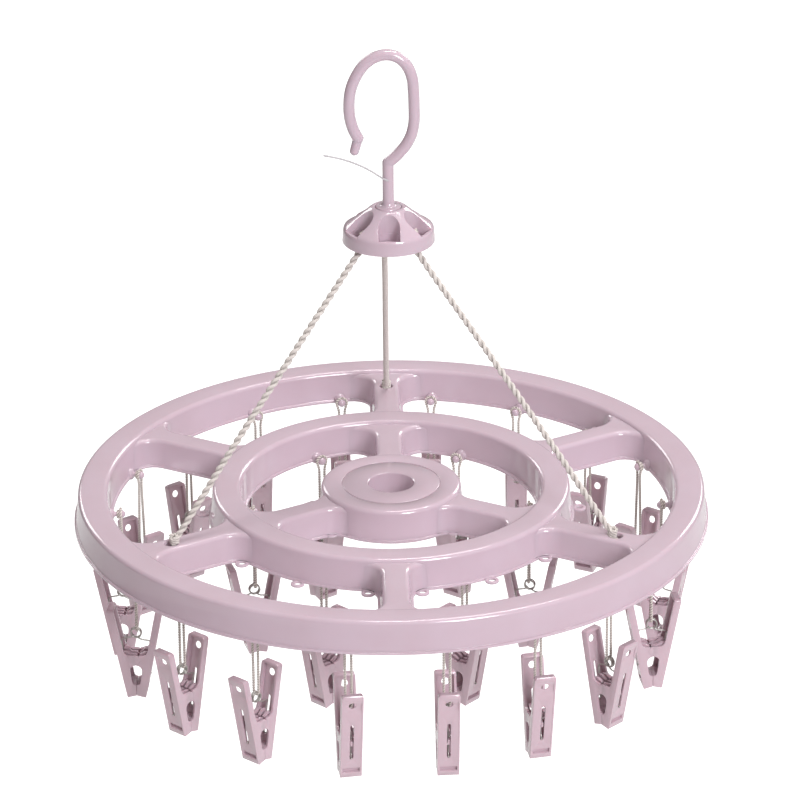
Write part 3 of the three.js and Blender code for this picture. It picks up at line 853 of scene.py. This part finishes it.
def jaw_mesh(holds_web):
    """One jaw, opening towards -X, with its tips at height 0. The web between the two jaws
    belongs to the one that holds it; the other has a socket round it, and room to open."""
    inner = HALF - PLATE
    v_side = [(lean(53) - FLANGE, 52.4), (lean(28.4) - FLANGE, 28.4), (6.15, 26.9), (5.45, 25.95),
              (4.4, 25.4), (3.2, 25.2), (0.12, 25.2), (0.12, 19.5)]
    pear = arc(0.12, 16.3, 3.2, 88, 4, 6) + [(3.15, 14.4), (2.4, 9.8), (2.15, 8.7), (1.6, 7.9),
                                             (0.7, 7.6)]
    side = ([(0.12, 1.15), (4.75, 0.0), (5.15, 0.35), (lean(52.2), 52.2), (lean(52.9) - 0.4, 52.9),
             (lean(53) - FLANGE + 0.4, 52.9)] + v_side + pear + [(0.12, 7.55)])
    piece = linked("jaw", Shape().add(*slab(side, -HALF, HALF)).mesh("jaw", clip_lilac))
    cut_jaw(piece, plate_tools(inner))
    bevel(piece, 0.25, 2, 38)
    ribs = Shape()
    if holds_web:
        web = arc(0, PIVOT, 2.5, 0, 360, 32)[:-1]
        for low, high in ((-HALF + 0.03, -inner + 0.05), (-0.55, 0.55),
                          (inner - 0.05, HALF - 0.03)):
            ribs.add(*slab(web, low, high))
    else:
        socket = slab(arc(0, PIVOT, 2.55, 0, 360, 32)[:-1], -HALF - 1, HALF + 1)
        relief = slab([(-0.5, PIVOT), (1.75, PIVOT), (1.75, 26.5), (-0.5, 26.5)], -HALF - 1,
                      HALF + 1)
        cut_jaw(piece, (socket, relief))
    ribs.add(*slab([(2.7, 20), (8.2, 20), (8.2, 22.6), (2.7, 24.4)], -0.55, 0.55))
    start = -0.8 if holds_web else 2.0
    for low, high, top in ((-3.9, -2.3, 27.0), (-0.8, 0.8, 27.6), (2.3, 3.9, 27.0)):
        ribs.add(*slab([(start, 24.9), (6.6, 24.9), (6.9, top), (4.6, top), (2.6, 25.9),
                        (start, 25.6)], low, high))
    whole = bmesh.new()
    whole.from_mesh(piece.data)
    whole.from_mesh(outward(ribs.mesh("ribs", clip_lilac)))
    data = bpy.data.meshes.new("outer_jaw" if holds_web else "inner_jaw")
    whole.to_mesh(data)
    whole.free()
    data.materials.append(clip_lilac)
    bpy.data.objects.remove(piece)
    data.transform(Matrix.Translation((0, 0, -TIP_DROP * MM)))
    smooth(data, 45)
    return data


def spring_meshes():
    """The spring in two halves: the coil with the outer leg, and the inner leg."""
    centre, radius, wire, pitch, turns = -CORD_DROP, 2.82, 0.42, 0.92, 2.85
    start = -0.35 * math.pi
    t = np.linspace(0, turns, 70)
    a = start + 2 * math.pi * t
    coil = np.stack([radius * np.cos(a), (t - turns / 2) * pitch,
                     centre + radius * np.sin(a)], axis=1)

    def leg(sign, y):
        """Down inside a jaw's back and out through its slot, which holds the end."""
        top = -TIP_DROP
        return [(sign * (lean(31) - 3.2), y * 0.8, top + 32.2),
                (sign * (lean(29) - 3.0), 0.4 * y, top + 29.4),
                (sign * (lean(25) - 3.2), 0, top + 25),
                (sign * (lean(20) - 3.4), 0, top + 20),
                (sign * (lean(15.6) - 3.0), 0, top + 15.6),
                (sign * (lean(13) - 1.3), 0, top + 13),
                (sign * (lean(12.3) + 0.1), 0, top + 12.3)]

    first, last = coil[0], coil[-1]
    outer_leg = leg(1, first[1])[::-1] + [tuple(first + (1.6, 0, -0.9))]
    outer = np.concatenate([spline(outer_leg, 0.5), coil])
    inner = spline([tuple(last), tuple(last + (-1.6, 0, -0.9))] + leg(-1, last[1]), 0.5)
    return (Shape().add(*tube(outer, wire, 10)).mesh("spring_outer", steel, 50),
            Shape().add(*tube(inner, wire, 10)).mesh("spring_inner", steel, 50))


outer_jaw = jaw_mesh(True)
inner_jaw = mirrored(jaw_mesh(False))
spring_outer, spring_inner = spring_meshes()
for number, (peg_radius, peg_angle, clip_turn) in enumerate(PEGS, 1):
    clip = f"clip_{number:02d}"
    matrix = peg_matrix(peg_radius, peg_angle, clip_turn)
    place(clip + "_outer", outer_jaw, clip, (clip + "_outer_jaw",), matrix)
    place(clip + "_inner", inner_jaw, clip + "_inner", (clip + "_inner_jaw",),
          matrix)
    place(clip + "_spring_outer", spring_outer, clip, matrix=matrix)
    place(clip + "_spring_inner", spring_inner, clip + "_inner", matrix=matrix)


# ------------------------------------------------------------------ floor and light
FLOOR_RADIUS = 3.4  # metres, as all below
FLOOR_LEVEL = -0.85
MIDDLE = (0, 0, -0.2)  # what the lights are aimed at
# Name, position, width and length, watts and colour.
LIGHTS = (("strip", (0.35, 0.25, 1.75), (0.3, 1.3), 19, (1.0, 1.0, 0.98)),
          ("back_left", (-1.3, 2.1, 0.8), (0.9, 0.8), 10, (1.0, 1.0, 1.0)),
          ("back_right", (1.4, 2.0, 0.8), (0.9, 0.8), 13, (1.0, 1.0, 1.0)),
          ("key", (1.1, -2.2, 1.0), (0.8, 1.0), 52, (0.95, 0.97, 1.0)))


def make_floor():
    """A white ground that fills the view behind and below the hanger. It looks brighter to the
    camera than the light it throws."""
    sides = 96
    rim = [(FLOOR_RADIUS * math.cos(t), FLOOR_RADIUS * math.sin(t), 0)
           for t in np.linspace(0, 2 * math.pi, sides + 1)[:-1]]
    data = bpy.data.meshes.new("floor")
    data.from_pydata(rim, [], [tuple(range(sides))])
    material, nodes, links, shader = node_material("floor_white")
    shader.inputs["Base Color"].default_value = (0.5, 0.5, 0.5, 1)
    shader.inputs["Roughness"].default_value = 0.9
    shader.inputs["Emission Color"].default_value = (1, 1, 1, 1)
    ray = nodes.new("ShaderNodeLightPath")
    links.new(add_range(nodes, links, ray.outputs["Is Camera Ray"], 0.32, 0.8),
              shader.inputs["Emission Strength"])
    data.materials.append(material)
    floor = linked("floor", data)
    floor.location = (0, 0, FLOOR_LEVEL)


def area_light(name, at, size, watts, colour):
    """A soft lamp aimed at the middle of the hanger."""
    data = bpy.data.lights.new(name, "AREA")
    data.shape, data.size, data.size_y = "RECTANGLE", size[0], size[1]
    data.energy, data.color = watts, colour
    light = linked(name, data)
    light.location = at
    light.rotation_euler = (Vector(MIDDLE) - Vector(at)).to_track_quat("-Z", "Y").to_euler()


def make_world():
    """A soft surround, brighter above and to the right than low on the left, on a plain white
    backdrop."""
    world = bpy.data.worlds.new("studio")
    bpy.context.scene.world = world
    world.use_nodes = True
    nodes, links = world.node_tree.nodes, world.node_tree.links
    where = nodes.new("ShaderNodeTexCoord")
    along = nodes.new("ShaderNodeVectorMath")
    along.operation = "DOT_PRODUCT"
    along.inputs[1].default_value = (0.42, -0.3, 0.86)
    links.new(where.outputs["Generated"], along.inputs[0])
    back = nodes["Background"]
    back.inputs["Color"].default_value = (1.0, 0.97, 0.94, 1)
    links.new(add_range(nodes, links, along.outputs["Value"], 0.12, 0.66, (-0.7, 1.0)),
              back.inputs["Strength"])
    backdrop = nodes.new("ShaderNodeBackground")
    backdrop.inputs["Color"].default_value = (1, 1, 1, 1)
    ray = nodes.new("ShaderNodeLightPath")
    both = nodes.new("ShaderNodeMixShader")
    links.new(ray.outputs["Is Camera Ray"], both.inputs["Fac"])
    links.new(back.outputs["Background"], both.inputs[1])
    links.new(backdrop.outputs["Background"], both.inputs[2])
    links.new(both.outputs["Shader"], nodes["World Output"].inputs["Surface"])


make_floor()
make_world()
for light_facts in LIGHTS:
    area_light(*light_facts)
bpy.context.scene.view_settings.view_transform = "Standard"
